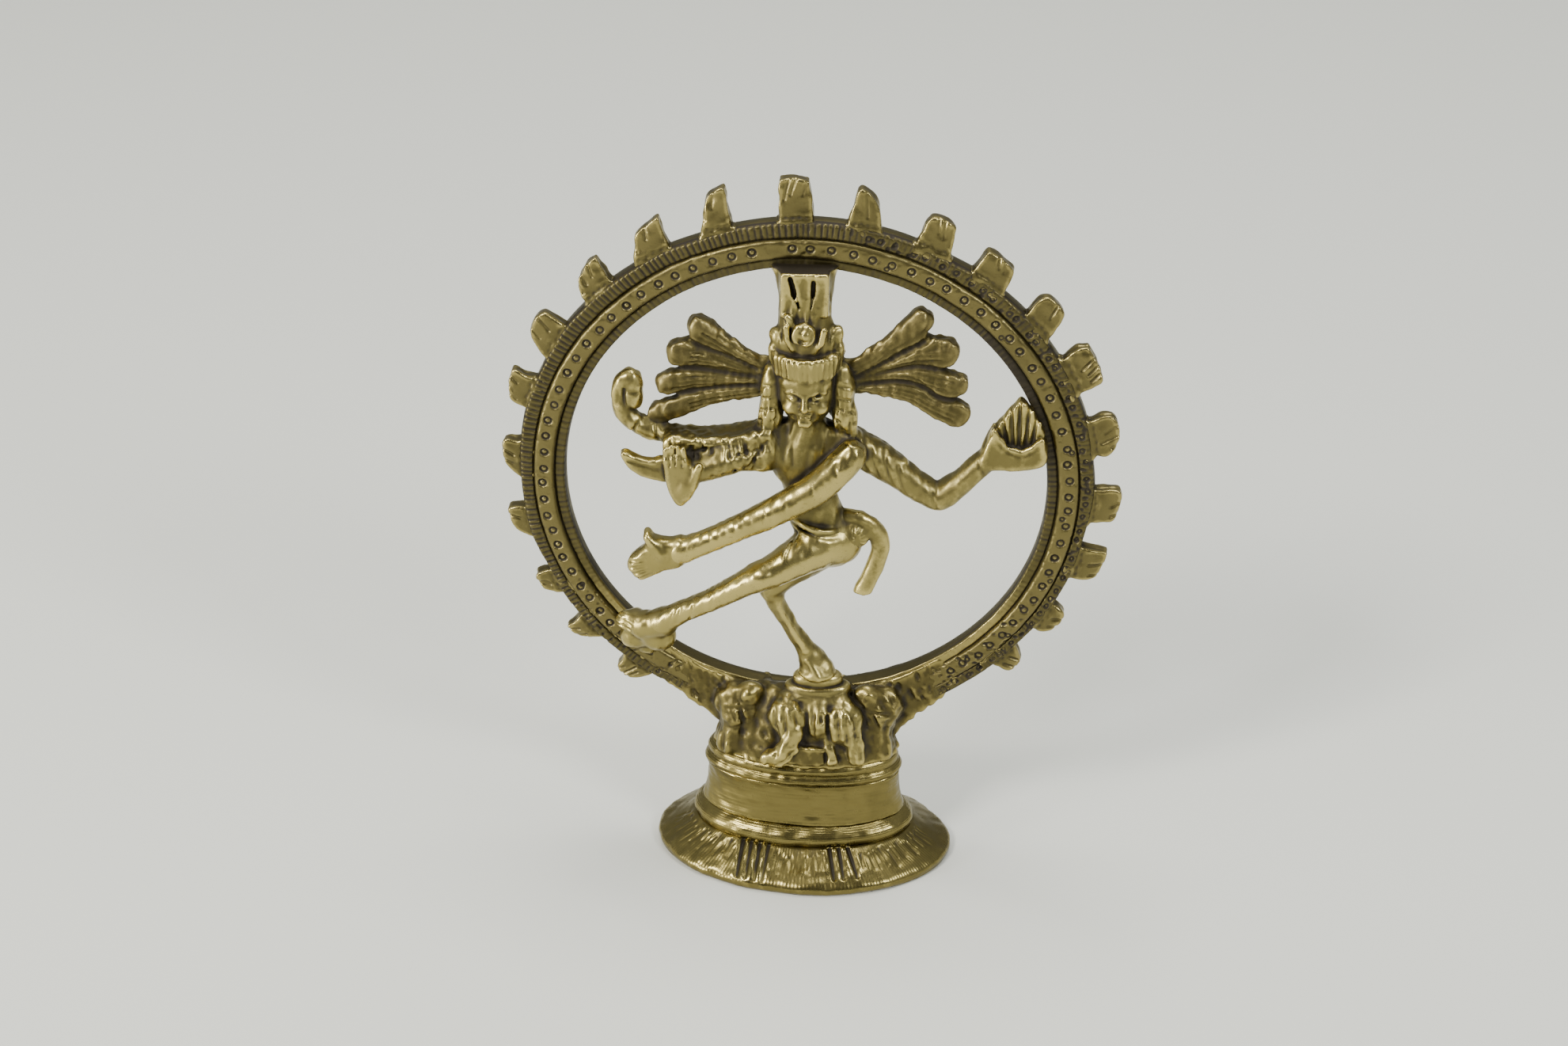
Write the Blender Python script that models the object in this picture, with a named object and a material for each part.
# Brass nataraja statuette: oval pedestal, prabhamandala ring with flames,
# dancing figure with four arms.  Metres, +Z up, the front of the statue faces -Y.
# Every sub-part is one closed solid; neighbours are 0.3 mm apart.
import bpy
import bmesh
import math
from mathutils import Vector

# ---------------------------------------------------------------- dimensions
MM = 0.001
GAP = 0.3                     # clearance between neighbouring solids, mm

BASE_W = 38.0                 # pedestal foot, width
BASE_D = 25.0                 # pedestal foot, depth
FOOT_H = 3.9                  # height of the flared foot
BASE_TOP = 15.4               # top of the pedestal mouldings
WALL = 2.2                    # wall of the hollow pedestal

RING_Z = 52.5                 # height of the ring centre
RING_Y = 0.8                  # the ring stands a little behind the middle
R_INNER = 28.8                # inner edge of the ring
R_LOW = 29.95                 # inner strip / middle band groove
R_MID = 32.5                  # middle band / outer strip groove
R_OUTER = 34.2                # outer edge of the ring
RING_END = 8.5                # degrees either side of the bottom left open
FLAME_TOP = 39.6              # tip of the top flame, from the ring centre
FLAME_R = 37.6                # tip of the other flames
FLAMES_RIGHT = 10
FLAMES_LEFT = 10
PITCH_RIGHT = 13.51           # degrees between flames
PITCH_LEFT = 14.09
FLAME_W = 7.1                 # degrees covered by the root of one flame

BRASS = (0.33, 0.235, 0.085)
BRASS_DARK = (0.25, 0.175, 0.065)
BRASS_BRIGHT = (0.46, 0.34, 0.13)

for ob in list(bpy.data.objects):
    bpy.data.objects.remove(ob, do_unlink=True)


# ---------------------------------------------------------------- helpers
def material(name, colour, rough):
    mat = bpy.data.materials.new(name)
    mat.use_nodes = True
    shader = mat.node_tree.nodes["Principled BSDF"]
    shader.inputs["Base Color"].default_value = (*colour, 1.0)
    shader.inputs["Metallic"].default_value = 1.0
    shader.inputs["Roughness"].default_value = rough
    return mat


def finish_mesh(bm, name):
    bmesh.ops.remove_doubles(bm, verts=bm.verts, dist=1e-6)
    bmesh.ops.recalc_face_normals(bm, faces=bm.faces)
    mesh = bpy.data.meshes.new(name)
    bm.to_mesh(mesh)
    bm.free()
    ob = bpy.data.objects.new(name, mesh)
    bpy.context.scene.collection.objects.link(ob)
    return ob


def stack(name, rings, cap=True):
    """Closed solid skinned through rings of points; each ring has as many."""
    bm = bmesh.new()
    rows = [[bm.verts.new(Vector(p) * MM) for p in ring] for ring in rings]
    n = len(rows[0])
    for a, b in zip(rows[:-1], rows[1:]):
        for i in range(n):
            j = (i + 1) % n
            bm.faces.new((a[i], a[j], b[j], b[i]))
    if cap:
        for row, point in ((rows[0], 0), (rows[-1], -1)):
            mid = Vector((0, 0, 0))
            for v in row:
                mid += v.co
            centre = bm.verts.new(mid / n)
            for i in range(n):
                bm.faces.new((row[i], row[(i + 1) % n], centre))
    else:
        for i in range(n):
            j = (i + 1) % n
            bm.faces.new((rows[-1][i], rows[-1][j], rows[0][j], rows[0][i]))
    bmesh.ops.triangulate(bm, faces=[f for f in bm.faces if len(f.verts) > 3])
    return finish_mesh(bm, name)


def oval(cx, cy, z, ax, ay, n=48):
    return [(cx + ax * math.cos(2 * math.pi * i / n), cy + ay * math.sin(2 * math.pi * i / n), z)
            for i in range(n)]


def ovals(name, profile, cx=0.0, cy=0.0, n=40, cap=True):
    return stack(name, [oval(cx, cy, z, ax, ay, n) for z, ax, ay in profile], cap)


def curve_through(points, per=3):
    """Catmull-Rom samples through points of any dimension."""
    out = []
    last = len(points) - 1
    for k in range(last):
        p0, p1, p2, p3 = points[max(k - 1, 0)], points[k], points[k + 1], points[min(k + 2, last)]
        for s in range(per):
            t = s / per
            out.append(tuple(0.5 * (2 * b + (c - a) * t + (2 * a - 5 * b + 4 * c - d) * t * t
                                    + (3 * b - a - 3 * c + d) * t ** 3)
                             for a, b, c, d in zip(p0, p1, p2, p3)))
    out.append(tuple(points[-1]))
    return out


def limb(name, stations, grow=0.0, flat=0.9, n=8, per=2, blunt=0.55):
    """Tube with a rounded nose at both ends.  Stations are (x, y, z, radius)."""
    path = curve_through(stations, per)
    pts = [Vector(p[:3]) for p in path]
    rad = [p[3] + grow for p in path]
    depth = Vector((0, 1, 0))
    rings = []
    count = len(pts)

    def ring(c, side, front, r):
        return [tuple(c + side * (r * math.cos(2 * math.pi * i / n))
                      + front * (r * flat_r / 1.0 * math.sin(2 * math.pi * i / n))) for i in range(n)]

    for k in range(count):
        tan = (pts[min(k + 1, count - 1)] - pts[max(k - 1, 0)]).normalized()
        side = tan.cross(depth).normalized()
        front = side.cross(tan).normalized()
        flat_r = flat + grow * (1 - flat) / max(rad[k], 0.01)
        if k == 0:
            for a in (72, 38):
                rings.append(ring(pts[0] - tan * (rad[0] * blunt * math.sin(math.radians(a))),
                                  side, front, rad[0] * math.cos(math.radians(a))))
        rings.append(ring(pts[k], side, front, rad[k]))
        if k == count - 1:
            for a in (38, 72):
                rings.append(ring(pts[k] + tan * (rad[k] * blunt * math.sin(math.radians(a))),
                                  side, front, rad[k] * math.cos(math.radians(a))))
    return stack(name, rings)


def egg(name, centre, radii, grow=0.0, n=12, rows=7, lean=0.0):
    """Ellipsoid, optionally leaning toward +X with height (mm per mm)."""
    rings = []
    for k in range(1, rows + 1):
        a = math.pi * k / (rows + 1) - math.pi / 2
        z = math.sin(a) * (radii[2] + grow)
        rings.append(oval(centre[0] + lean * z, centre[1], centre[2] + z,
                          math.cos(a) * (radii[0] + grow), math.cos(a) * (radii[1] + grow), n))
    return stack(name, rings)


def plate(name, outline, y_back, y_front, round_by=0.35):
    """Flat cast shape: outline in (x, z), rounded front and back edges."""
    n = len(outline)
    cx = sum(p[0] for p in outline) / n
    cz = sum(p[1] for p in outline) / n

    def inset(y, d):
        pts = []
        for i in range(n):
            a, b, c = outline[i - 1], outline[i], outline[(i + 1) % n]
            tx, tz = c[0] - a[0], c[1] - a[1]
            ln = math.hypot(tx, tz) or 1.0
            nx, nz = tz / ln, -tx / ln
            if area < 0:
                nx, nz = -nx, -nz
            pts.append((b[0] - nx * d, y, b[1] - nz * d))
        return pts

    area = sum(outline[i - 1][0] * outline[i][1] - outline[i][0] * outline[i - 1][1] for i in range(n))
    bm = bmesh.new()
    rows = [[bm.verts.new(Vector(p) * MM) for p in inset(y, d)]
            for y, d in ((y_back, round_by), (y_back - round_by, 0.0),
                         (y_front + round_by, 0.0), (y_front, round_by))]
    for a, b in zip(rows[:-1], rows[1:]):
        for i in range(n):
            j = (i + 1) % n
            bm.faces.new((a[i], a[j], b[j], b[i]))
    bm.faces.new(rows[0])
    bm.faces.new(list(reversed(rows[-1])))
    bmesh.ops.triangulate(bm, faces=bm.faces)
    return finish_mesh(bm, name)


def band(name, r0, r1, half, a0, a1, crown=0.0, steps=48, chamfer=0.25, close=False):
    """Part of a flat ring standing in the XZ plane; angles clockwise from the top."""
    bm = bmesh.new()
    section = [(r0, half - chamfer), (r0 + chamfer, half + crown * 0.4)]
    if crown:
        section.append(((r0 + r1) / 2, half + crown))
    section += [(r1 - chamfer, half + crown * 0.4), (r1, half - chamfer)]
    section = section + [(r, -h) for r, h in reversed(section)]
    rows = []
    for k in range(steps if close else steps + 1):
        a = math.radians(a0 + (a1 - a0) * k / steps)
        rows.append([bm.verts.new(Vector((r * math.sin(a), RING_Y + h, RING_Z + r * math.cos(a))) * MM)
                     for r, h in section])
    m = len(section)
    pairs = list(zip(rows[:-1], rows[1:])) + ([(rows[-1], rows[0])] if close else [])
    for a, b in pairs:
        for i in range(m):
            j = (i + 1) % m
            bm.faces.new((a[i], a[j], b[j], b[i]))
    if not close:
        bm.faces.new(rows[0])
        bm.faces.new(list(reversed(rows[-1])))
    bmesh.ops.triangulate(bm, faces=bm.faces)
    return finish_mesh(bm, name)


def keep_largest(bm):
    """Only the biggest island stays after a cut."""
    left = set(bm.faces)
    islands = []
    while left:
        seed = left.pop()
        island, queue = [seed], [seed]
        while queue:
            face = queue.pop()
            for edge in face.edges:
                for other in edge.link_faces:
                    if other in left:
                        left.remove(other)
                        island.append(other)
                        queue.append(other)
        islands.append(island)
    if len(islands) > 1:
        def volume(faces):
            total = 0.0
            for f in faces:
                v0 = f.verts[0].co
                for i in range(1, len(f.verts) - 1):
                    total += v0.dot(f.verts[i].co.cross(f.verts[i + 1].co))
            return abs(total)
        islands.sort(key=volume, reverse=True)
        bmesh.ops.delete(bm, geom=[f for isl in islands[1:] for f in isl], context='FACES')


def cut(ob, *cutters):
    """Take the given solids out of ob and drop them."""
    for cutter in cutters:
        cutter.hide_render = True
        cutter.display_type = 'WIRE'
        mod = ob.modifiers.new("cut", 'BOOLEAN')
        mod.operation = 'DIFFERENCE'
        mod.solver = 'EXACT'
        mod.object = cutter
    graph = bpy.context.evaluated_depsgraph_get()
    graph.update()
    bm = bmesh.new()
    bm.from_object(ob, graph)
    bmesh.ops.remove_doubles(bm, verts=bm.verts, dist=2e-6)
    bmesh.ops.dissolve_degenerate(bm, edges=bm.edges, dist=2e-6)
    keep_largest(bm)
    bmesh.ops.triangulate(bm, faces=bm.faces)
    bmesh.ops.recalc_face_normals(bm, faces=bm.faces)
    ob.modifiers.clear()
    bm.to_mesh(ob.data)
    bm.free()
    for cutter in cutters:
        bpy.data.objects.remove(cutter, do_unlink=True)
    return ob


def fuse(ob, *others):
    """Join overlapping solids into one closed solid."""
    for other in others:
        mod = ob.modifiers.new("join", 'BOOLEAN')
        mod.operation = 'UNION'
        mod.solver = 'EXACT'
        mod.object = other
    graph = bpy.context.evaluated_depsgraph_get()
    graph.update()
    bm = bmesh.new()
    bm.from_object(ob, graph)
    bmesh.ops.remove_doubles(bm, verts=bm.verts, dist=2e-6)
    keep_largest(bm)
    bmesh.ops.triangulate(bm, faces=bm.faces)
    ob.modifiers.clear()
    bm.to_mesh(ob.data)
    bm.free()
    for other in others:
        bpy.data.objects.remove(other, do_unlink=True)
    return ob


def dress(ob, colour=BRASS, rough=0.38, smooth=True):
    ob.data.materials.clear()
    ob.data.materials.append(material("mat_" + ob.name, colour, rough))
    for poly in ob.data.polygons:
        poly.use_smooth = smooth
    return ob


# ---------------------------------------------------------------- pedestal
AX, AY = BASE_W / 2, BASE_D / 2


def flange_rings():
    # hollow foot: down the outside, then back up the inside
    outer = [(0.0, AX - 0.25, AY - 0.25), (0.35, AX, AY), (1.1, AX, AY), (1.6, AX - 0.4, AY - 0.4),
             (2.8, AX - 2.7, AY - 2.7), (FOOT_H, AX - 5.1, AY - 5.1)]
    inner = [(FOOT_H, AX - 5.1 - WALL, AY - 5.1 - WALL), (1.4, AX - 3.4, AY - 3.4), (0.0, AX - 2.6, AY - 2.6)]
    return outer + inner


flange = ovals("pedestal_foot", flange_rings(), n=44, cap=False)
# chisel cuts in two groups of three on the front of the foot
for a_mid in (-112.0, -76.0):
    for step in (-6.0, 0.0, 6.0):
        a = math.radians(a_mid + step)
        cx, cy = (AX - 2.2) * math.cos(a), (AY - 2.2) * math.sin(a)
        bpy.ops.mesh.primitive_cube_add(size=1, location=(cx * MM, cy * MM, 3.05 * MM))
        tool = bpy.context.object
        out = math.atan2(math.sin(a) / AY, math.cos(a) / AX)
        tool.scale = (4.2 * MM, 0.5 * MM, 0.9 * MM)
        tool.rotation_euler = (math.radians(45), math.radians(44), out)
        cut(flange, tool)
dress(flange, BRASS_BRIGHT, 0.3)

torus = ovals("pedestal_torus", [(FOOT_H + GAP, 13.9, 7.4), (4.9, 14.45, 7.95), (6.0, 14.35, 7.85),
                                 (6.8, 13.6, 7.1), (6.8, 13.6 - WALL, 7.1 - WALL),
                                 (FOOT_H + GAP, 11.6, 5.1)], n=44, cap=False)
dress(torus, BRASS_BRIGHT, 0.3)

drum = ovals("pedestal_drum", [(7.1, 13.1, 6.6), (8.4, 12.6, 6.1), (10.4, 12.3, 5.8),
                               (12.4, 12.4, 5.9), (12.4, 12.4 - WALL, 5.9 - WALL),
                               (7.1, 10.9, 4.4)], n=44, cap=False)
dress(drum, BRASS_BRIGHT, 0.28)

bead = ovals("pedestal_bead", [(12.7, 12.3, 5.9), (13.1, 12.7, 6.3), (13.6, 12.5, 6.1), (13.9, 12.25, 5.85),
                               (14.5, 12.65, 6.3), (BASE_TOP, 12.1, 5.75)], n=44)
dress(bead, BRASS_BRIGHT, 0.32)

# ---------------------------------------------------------------- mound, makaras, plinth
MOUND = [(BASE_TOP + GAP, 10.3, 4.1), (17.4, 9.6, 3.9), (19.3, 7.7, 3.5), (21.6, 6.1, 3.1), (24.1, 4.7, 2.8)]


def mound(name, grow=0.0):
    prof = [(z, ax + grow, ay + grow) for z, ax, ay in MOUND]
    if grow:
        prof = [(MOUND[0][0] - 1.0, MOUND[0][1] + grow, MOUND[0][2] + grow)] + prof \
            + [(MOUND[-1][0] + grow, MOUND[-1][1] + grow, MOUND[-1][2] + grow)]
    return ovals(name, prof, cy=0.2, n=28)


def ring_cutter(grow=GAP, wide=1.5):
    """The whole thickness of the ring, slightly larger all round."""
    end = 180.0 - RING_END + 0.6
    return band("cutter", R_INNER - grow, R_OUTER + grow, wide + grow, -end, end, steps=48)


def floor_cutter(top):
    bpy.ops.mesh.primitive_cube_add(size=1, location=(0, 0, (top - 6.0) * MM))
    box = bpy.context.object
    box.scale = (60 * MM, 40 * MM, 12 * MM)
    return box


dress(cut(mound("mound"), ring_cutter()), BRASS_DARK, 0.5)

RING_A = 180.0 - RING_END
for side, word in ((-1, "left"), (1, "right")):
    head = limb("makara_" + word, [(side * 4.6, 0.2, 19.4, 2.4), (side * 7.6, -0.2, 19.6, 3.1),
                                   (side * 10.2, -0.1, 20.0, 3.0), (side * 12.0, 0.2, 21.6, 2.5)],
                flat=0.95, n=10)
    cut(head, mound("cutter", GAP), ring_cutter(), floor_cutter(BASE_TOP + GAP))
    dress(head, BRASS_DARK, 0.5)

# the small prone figure in front of the mound
dwarf_body = limb("dwarf_body", [(-1.6, -4.9, 17.3, 1.5), (-1.4, -4.6, 20.0, 1.9), (0.4, -4.2, 21.6, 1.8),
                                 (3.4, -4.4, 21.2, 2.0), (4.6, -4.8, 18.6, 1.7), (4.9, -5.0, 17.4, 1.5)],
                  flat=0.9)
cut(dwarf_body, mound("cutter", GAP), floor_cutter(BASE_TOP + GAP))
dress(dwarf_body, BRASS_DARK, 0.45)
dwarf_arm = limb("dwarf_arm", [(-6.6, -4.4, 16.7, 0.85), (-4.9, -5.2, 16.8, 1.0), (-3.4, -5.0, 18.2, 1.0),
                               (-3.6, -4.2, 20.6, 1.0)], flat=0.9, n=10)
cut(dwarf_arm, mound("cutter", GAP), floor_cutter(BASE_TOP + GAP),
    limb("cutter", [(-1.6, -4.9, 17.3, 1.5), (-1.4, -4.6, 20.0, 1.9), (0.4, -4.2, 21.6, 1.8),
                    (3.4, -4.4, 21.2, 2.0), (4.6, -4.8, 18.6, 1.7), (4.9, -5.0, 17.4, 1.5)],
         grow=GAP, flat=0.9))
dress(dwarf_arm, BRASS, 0.42)

FOOT_X, FOOT_Y = 1.0, -0.9
dress(ovals("plinth_lower", [(24.4, 3.5, 3.0), (24.8, 3.7, 3.2), (25.2, 3.6, 3.1), (25.4, 3.3, 2.8)],
            FOOT_X, FOOT_Y, 24), BRASS, 0.38)
dress(ovals("plinth_upper", [(25.7, 2.7, 2.3), (26.1, 2.9, 2.5), (26.5, 2.8, 2.4), (26.8, 2.5, 2.1)],
            FOOT_X, FOOT_Y, 24), BRASS, 0.38)

# ---------------------------------------------------------------- ring of flames
dress(band("ring_inner_strip", R_INNER, R_LOW - GAP / 2, 1.0, -RING_A, RING_A), BRASS, 0.42)
dress(band("ring_middle_band", R_LOW + GAP / 2, R_MID - GAP / 2, 1.15, -RING_A, RING_A, crown=0.35), BRASS, 0.38)
dress(band("ring_outer_strip", R_MID + GAP / 2, R_OUTER, 1.1, -RING_A, RING_A), BRASS, 0.42)


def flame(name, angle, peak, lean, width):
    """One flame tongue; angle clockwise from the top, lean in mm along the rim."""
    root = R_OUTER + GAP
    half = math.radians(width) / 2 * root
    tall = peak - root
    outline = []
    steps = 5
    for i in range(steps + 1):                     # the root follows the rim
        u = -half + 2 * half * i / steps
        outline.append((u, math.sqrt(root * root - u * u)))
    outline += [(half * 0.98, root + tall * 0.38), (half * 0.66 + lean * 0.6, root + tall * 0.78),
                (half * 0.30 + lean, root + tall), (-half * 0.30 + lean, root + tall * 1.0),
                (-half * 0.70 + lean * 0.6, root + tall * 0.76), (-half * 0.98, root + tall * 0.38)]
    a = math.radians(angle)
    pts = [(u * math.cos(a) + v * math.sin(a), RING_Z - u * math.sin(a) + v * math.cos(a)) for u, v in outline]
    return plate(name, pts, RING_Y + 0.95, RING_Y - 0.95, 0.3)


TOP_ANGLE = -1.6
flames = [("flame_top", TOP_ANGLE, FLAME_TOP, 0.0, FLAME_W)]
for k in range(1, FLAMES_RIGHT + 1):
    wobble = -1.8 * math.sin(2 * math.pi * (k - 0.8) / FLAMES_RIGHT)
    flames.append(("flame_right_%02d" % k, TOP_ANGLE + PITCH_RIGHT * k + wobble,
                   FLAME_R + 0.255 + 0.3 * math.cos(2.1 * k) - 0.07 * k, -0.55, FLAME_W * (1.06 - 0.015 * k)))
for k in range(1, FLAMES_LEFT + 1):
    flames.append(("flame_left_%02d" % k, TOP_ANGLE - PITCH_LEFT * k - 0.7,
                   FLAME_R + 0.6 - 0.16 * k + 0.25 * math.sin(2.6 * k), 0.8 + 0.03 * k, FLAME_W))
for row in flames:
    dress(flame(*row), BRASS, 0.4)

# ---------------------------------------------------------------- torso and legs
TORSO = [(44.6, 3.3, -1.9, 3.0, 2.2), (46.6, 3.0, -2.0, 4.2, 2.6), (48.6, 2.1, -2.0, 4.0, 2.6),
         (51.2, 1.0, -1.9, 3.5, 2.3), (53.6, 0.3, -1.8, 3.5, 2.3), (56.4, 0.2, -1.7, 4.3, 2.6),
         (58.6, 0.2, -1.6, 4.9, 2.5), (60.2, 0.2, -1.5, 4.3, 2.1), (61.0, 0.2, -1.5, 2.2, 1.7)]


def torso(name, grow=0.0):
    rings = [oval(x, y, z + (grow if k == len(TORSO) - 1 else (-grow if k == 0 else 0)), ax + grow, ay + grow, 20)
             for k, (z, x, y, ax, ay) in enumerate(TORSO)]
    return stack(name, rings)


dress(torso("torso"), BRASS, 0.36)

STAND = [(3.0, -1.6, 45.4, 2.4), (-1.5, -2.4, 43.0, 2.3), (-4.2, -3.1, 40.7, 1.8), (-3.9, -3.0, 38.4, 1.5),
         (-2.9, -2.6, 35.6, 1.2), (-1.3, -2.0, 32.4, 1.2), (0.3, -1.5, 29.9, 1.5)]


def standing_leg(name, grow=0.0):
    return limb(name, STAND, grow, flat=0.95)


cut(standing_leg("leg_standing"), torso("cutter", GAP))
dress(bpy.data.objects["leg_standing"], BRASS, 0.36)
foot = egg("foot_standing", (FOOT_X + 0.1, FOOT_Y - 0.3, 28.2), (2.1, 2.4, 1.5))
cut(foot, standing_leg("cutter", GAP), floor_cutter(27.1))
dress(foot, BRASS, 0.36)

LIFT = [(4.0, -2.6, 46.2, 2.6), (1.6, -4.2, 46.4, 2.7), (-1.0, -5.6, 45.7, 2.4), (-3.6, -6.8, 44.5, 1.9),
        (-6.6, -7.1, 43.2, 1.6), (-10.4, -6.4, 40.4, 1.4), (-14.5, -5.2, 37.4, 1.4), (-16.6, -4.3, 35.7, 1.6)]


def lifted_leg(name, grow=0.0):
    return limb(name, LIFT, grow, flat=0.95)


cut(lifted_leg("leg_lifted"), torso("cutter", GAP), standing_leg("cutter", GAP))
dress(bpy.data.objects["leg_lifted"], BRASS_BRIGHT, 0.32)
foot = limb("foot_lifted", [(-16.6, -3.9, 34.6, 1.6), (-18.8, -3.4, 34.1, 1.9), (-20.8, -2.9, 34.0, 1.6),
                            (-21.9, -2.7, 34.4, 1.1)], flat=0.95)
cut(foot, lifted_leg("cutter", GAP), ring_cutter())
dress(foot, BRASS_BRIGHT, 0.32)

sash = limb("hip_sash", [(5.4, -2.0, 49.9, 1.1), (8.0, -2.2, 48.6, 1.2), (9.3, -2.0, 46.2, 1.2),
                         (9.1, -2.0, 43.1, 1.15), (7.9, -2.2, 39.9, 1.1)], flat=0.85)
cut(sash, torso("cutter", GAP), lifted_leg("cutter", GAP), standing_leg("cutter", GAP))
dress(sash, BRASS, 0.4)


# ---------------------------------------------------------------- head
def head_rings(grow=0.0):
    rings = []
    rows, n = 10, 22
    z0, z1 = 61.35, 69.6
    for k in range(rows + 1):
        t = k / rows
        z = z0 + (z1 - z0) * t
        wide = (0.48 + 0.52 * math.sin(math.pi / 2 * min(1.0, t / 0.42))) if t < 0.42 else 1.0 - 0.05 * (t - 0.42)
        ax, ay = 3.55 * wide + grow, 3.1 * wide + grow
        ring = []
        for i in range(n):
            a = 2 * math.pi * i / n
            x, y = math.cos(a) * ax, math.sin(a) * ay
            facing = max(0.0, -math.sin(a))
            nose = 0.75 * math.exp(-((x / 0.62) ** 2)) * math.exp(-(((t - 0.47) / 0.13) ** 2))
            lips = 0.28 * math.exp(-((x / 1.0) ** 2)) * math.exp(-(((t - 0.25) / 0.06) ** 2))
            eyes = -0.28 * math.exp(-(((abs(x) - 1.45) / 0.8) ** 2)) * math.exp(-(((t - 0.60) / 0.08) ** 2))
            y -= facing * (nose + lips + eyes)
            ring.append((0.3 + x, -1.7 + y, z + (grow if k == rows else -grow if k == 0 else 0)))
        rings.append(ring)
    return rings


dress(stack("head", head_rings()), BRASS, 0.36)
dress(ovals("headband", [(69.9, 3.6, 3.2), (70.2, 3.95, 3.5), (71.0, 3.95, 3.5), (71.3, 3.6, 3.2)],
            0.3, -1.5, 24), BRASS, 0.38)

CROWN = [(71.6, 3.5, 2.7, 0.3), (72.6, 3.9, 3.0, 0.3), (73.8, 3.6, 2.7, 0.3), (75.2, 3.15, 2.3, 0.2),
         (77.4, 3.1, 2.0, 0.0), (79.4, 3.4, 1.9, -0.3), (81.2, 3.9, 1.8, -0.3)]


def crown(name, grow=0.0):
    return stack(name, [oval(x, -1.1 + 0.2 * k, z + (-grow if k == 0 else 0), ax + grow, ay + grow, 20)
                        for k, (z, ax, ay, x) in enumerate(CROWN)])


cut(crown("crown"), ring_cutter())
dress(bpy.data.objects["crown"], BRASS, 0.4)
orn = egg("crown_ornament", (0.35, -3.5, 74.4), (1.5, 0.9, 1.5))
cut(orn, crown("cutter", GAP))
dress(orn, BRASS, 0.36)
for side, word in ((-1, "left"), (1, "right")):
    ear = egg("earring_" + word, (0.3 + side * 4.1, -2.6, 64.5), (0.9, 0.8, 1.9), n=10, rows=5)
    cut(ear, stack("cutter", head_rings(GAP)))
    dress(ear, BRASS, 0.4)

# ---------------------------------------------------------------- arms
REAR_R = [(-3.6, -1.2, 60.0, 1.5), (-5.8, -1.0, 60.1, 1.45), (-8.8, -0.9, 59.8, 1.3), (-12.7, -0.8, 59.5, 1.2),
          (-16.4, -0.8, 59.8, 1.15), (-19.0, -0.8, 60.6, 1.2), (-20.8, -0.8, 62.2, 1.2)]
DRUM_R = [(-21.0, -0.9, 62.8, 1.4), (-20.8, -0.9, 64.3, 1.9), (-20.7, -0.9, 65.6, 1.75), (-20.6, -0.9, 66.8, 1.6)]
ABHAYA = [(-3.4, -2.0, 58.9, 1.8), (-6.6, -3.0, 58.7, 1.7), (-9.4, -4.2, 58.4, 1.6), (-12.0, -5.0, 57.8, 1.4)]
CROSS = [(5.0, -2.4, 58.9, 1.8), (3.6, -3.9, 57.4, 1.9), (1.1, -5.1, 55.6, 1.9), (-3.0, -6.2, 53.1, 1.75),
         (-6.6, -6.4, 51.1, 1.5), (-10.3, -6.4, 49.1, 1.45), (-14.0, -6.2, 47.0, 1.5)]
REAR_L = [(3.8, -1.2, 59.6, 1.8), (6.0, -1.15, 59.2, 1.9), (8.6, -1.1, 57.6, 1.9), (12.3, -1.1, 54.4, 1.6),
          (15.8, -1.2, 52.6, 1.8), (19.2, -1.1, 55.1, 1.6), (21.6, -0.9, 57.3, 1.4)]


def rear_right(name, grow=0.0):
    return limb(name, REAR_R, grow)


def damaru(name, grow=0.0):
    return limb(name, DRUM_R, grow, flat=0.85)


def abhaya(name, grow=0.0):
    return limb(name, ABHAYA, grow)


def crossing(name, grow=0.0):
    return limb(name, CROSS, grow)


def rear_left(name, grow=0.0):
    return limb(name, REAR_L, grow)


def legs_and_body():
    return torso("cutter", GAP)


cut(abhaya("arm_front_right"), legs_and_body())
dress(bpy.data.objects["arm_front_right"], BRASS, 0.36)
cut(rear_right("arm_rear_right"), legs_and_body(), abhaya("cutter", GAP))
dress(bpy.data.objects["arm_rear_right"], BRASS, 0.38)
cut(damaru("hand_damaru"), rear_right("cutter", GAP))
dress(bpy.data.objects["hand_damaru"], BRASS, 0.4)
cut(rear_left("arm_rear_left"), legs_and_body())
dress(bpy.data.objects["arm_rear_left"], BRASS, 0.36)
cut(crossing("arm_front_left"), legs_and_body(), rear_left("cutter", GAP))
dress(bpy.data.objects["arm_front_left"], BRASS_BRIGHT, 0.32)


def open_palm(name, grow=0.0):
    """Raised open hand: four fingers up, thumb at the side."""
    parts = [limb(name, [(-14.7, -5.3, 53.6, 1.0), (-14.4, -5.4, 55.6, 1.75), (-14.1, -5.4, 58.2, 2.0)], grow,
                  flat=0.5)]
    for k in range(4):
        x = -15.4 + 0.92 * k
        parts.append(limb("finger", [(x * 0.98 - 0.2, -5.5, 58.0, 0.5), (x, -5.6, 60.5 - 0.3 * abs(k - 1.5), 0.45)],
                          grow, flat=1.0, n=6, per=1))
    parts.append(limb("finger", [(-12.8, -5.7, 56.4, 0.7), (-11.9, -6.0, 58.9, 0.5)], grow, flat=1.0, n=6, per=1))
    return fuse(parts[0], *parts[1:])


palm = open_palm("hand_abhaya")
cut(palm, abhaya("cutter", GAP))
dress(palm, BRASS, 0.36)
snake = limb("snake_tail", [(-15.6, -4.0, 55.4, 1.2), (-17.4, -3.8, 55.9, 1.25), (-19.4, -3.5, 57.0, 0.95),
                            (-21.0, -3.3, 58.3, 0.45)], flat=0.8, n=10)
cut(snake, open_palm("cutter", GAP))
dress(snake, BRASS, 0.38)

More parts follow.
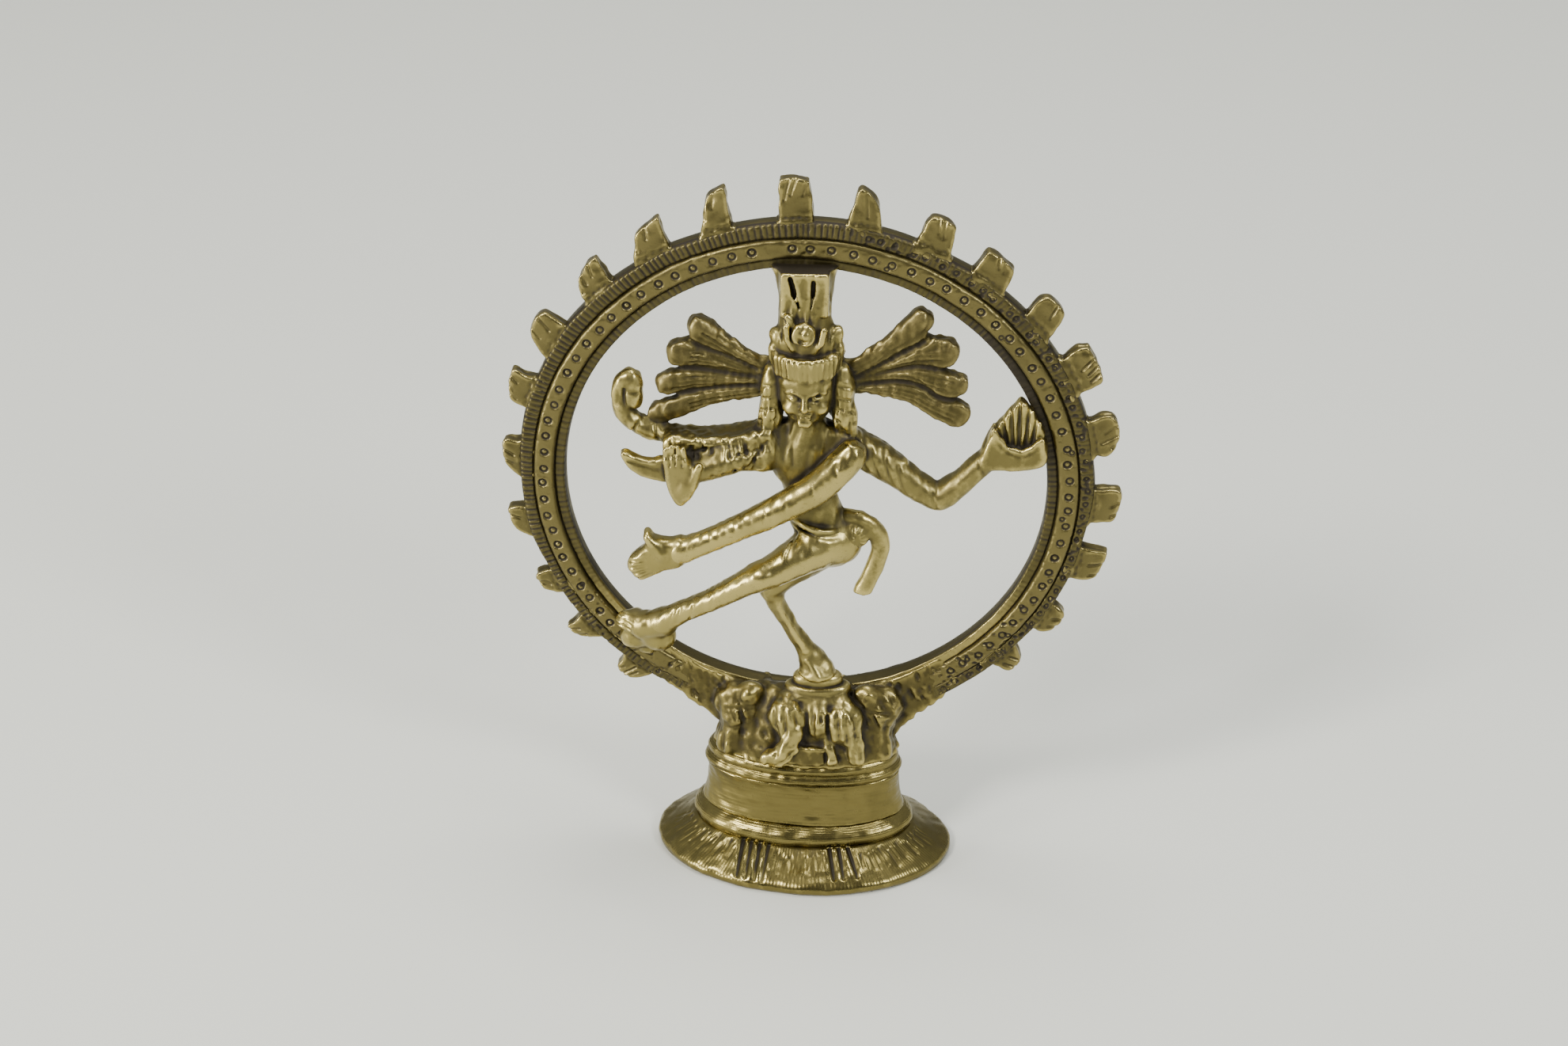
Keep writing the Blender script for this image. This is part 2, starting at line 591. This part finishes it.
hand = limb("hand_pointing", [(-15.0, -6.1, 46.6, 1.5), (-17.4, -6.0, 46.0, 1.8), (-19.0, -5.8, 44.6, 1.6),
                              (-19.6, -5.7, 43.2, 1.1)], flat=0.75)
cut(hand, crossing("cutter", GAP))
dress(hand, BRASS_BRIGHT, 0.34)

hand = limb("hand_fire", [(22.4, -0.8, 57.9, 1.6), (24.2, -0.6, 58.0, 1.9), (26.0, -0.5, 58.2, 1.8),
                          (27.4, -0.4, 59.2, 1.5)], flat=0.9)
cut(hand, rear_left("cutter", GAP), ring_cutter())
dress(hand, BRASS, 0.38)
fire = plate("fire", [(23.3, 60.3), (23.0, 61.6), (23.8, 63.2), (24.7, 64.9), (25.5, 65.4), (26.3, 64.4),
                      (27.0, 62.8), (27.4, 61.2), (26.6, 60.4), (25.0, 60.1)], 0.9, -1.3, 0.35)
cut(fire, limb("cutter", [(22.4, -0.8, 57.9, 1.6), (24.2, -0.6, 58.0, 1.9), (26.0, -0.5, 58.2, 1.8),
                          (27.4, -0.4, 59.2, 1.5)], grow=GAP, flat=0.9), ring_cutter())
dress(fire, BRASS, 0.42)


# ---------------------------------------------------------------- flying hair
# four locks each side: (start, middle, tip) with the radius of the lock
LOCKS = {
    "hair_left": [[(-3.4, -0.4, 68.4, 1.1), (-8.3, -0.2, 72.0, 1.35), (-12.0, -0.1, 74.2, 1.4)],
                  [(-3.4, -0.5, 67.6, 1.1), (-9.7, -0.2, 69.6, 1.4), (-14.6, -0.1, 69.9, 1.35)],
                  [(-3.4, -0.4, 66.8, 1.1), (-10.3, -0.2, 66.5, 1.4), (-15.7, -0.1, 66.1, 1.3)],
                  [(-3.4, -0.5, 65.8, 1.1), (-10.3, -0.2, 64.3, 1.3), (-17.0, -0.1, 62.2, 1.3)]],
    "hair_right": [[(3.6, -0.4, 68.6, 1.1), (8.8, -0.2, 72.1, 1.35), (13.8, -0.1, 75.4, 1.45)],
                   [(3.6, -0.5, 67.8, 1.1), (10.4, -0.2, 70.0, 1.4), (16.5, -0.1, 71.2, 1.4)],
                   [(3.6, -0.4, 67.0, 1.1), (10.6, -0.2, 67.7, 1.4), (17.9, -0.1, 67.0, 1.4)],
                   [(3.6, -0.5, 66.0, 1.1), (10.5, -0.2, 65.4, 1.4), (14.6, -0.2, 64.0, 1.35), (18.6, -0.1, 63.2, 1.35)]],
}
for word, locks in LOCKS.items():
    parts = [limb(word if k == 0 else "lock", pts, flat=0.8) for k, pts in enumerate(locks)]
    fan = fuse(parts[0], *parts[1:])
    arm = rear_right("cutter", GAP) if word == "hair_left" else rear_left("cutter", GAP)
    cut(fan, stack("cutter", head_rings(GAP)), crown("cutter", GAP),
        ovals("cutter", [(69.6, 4.25, 3.8), (71.6, 4.25, 3.8)], 0.3, -1.5, 24), arm)
    dress(fan, BRASS, 0.4)
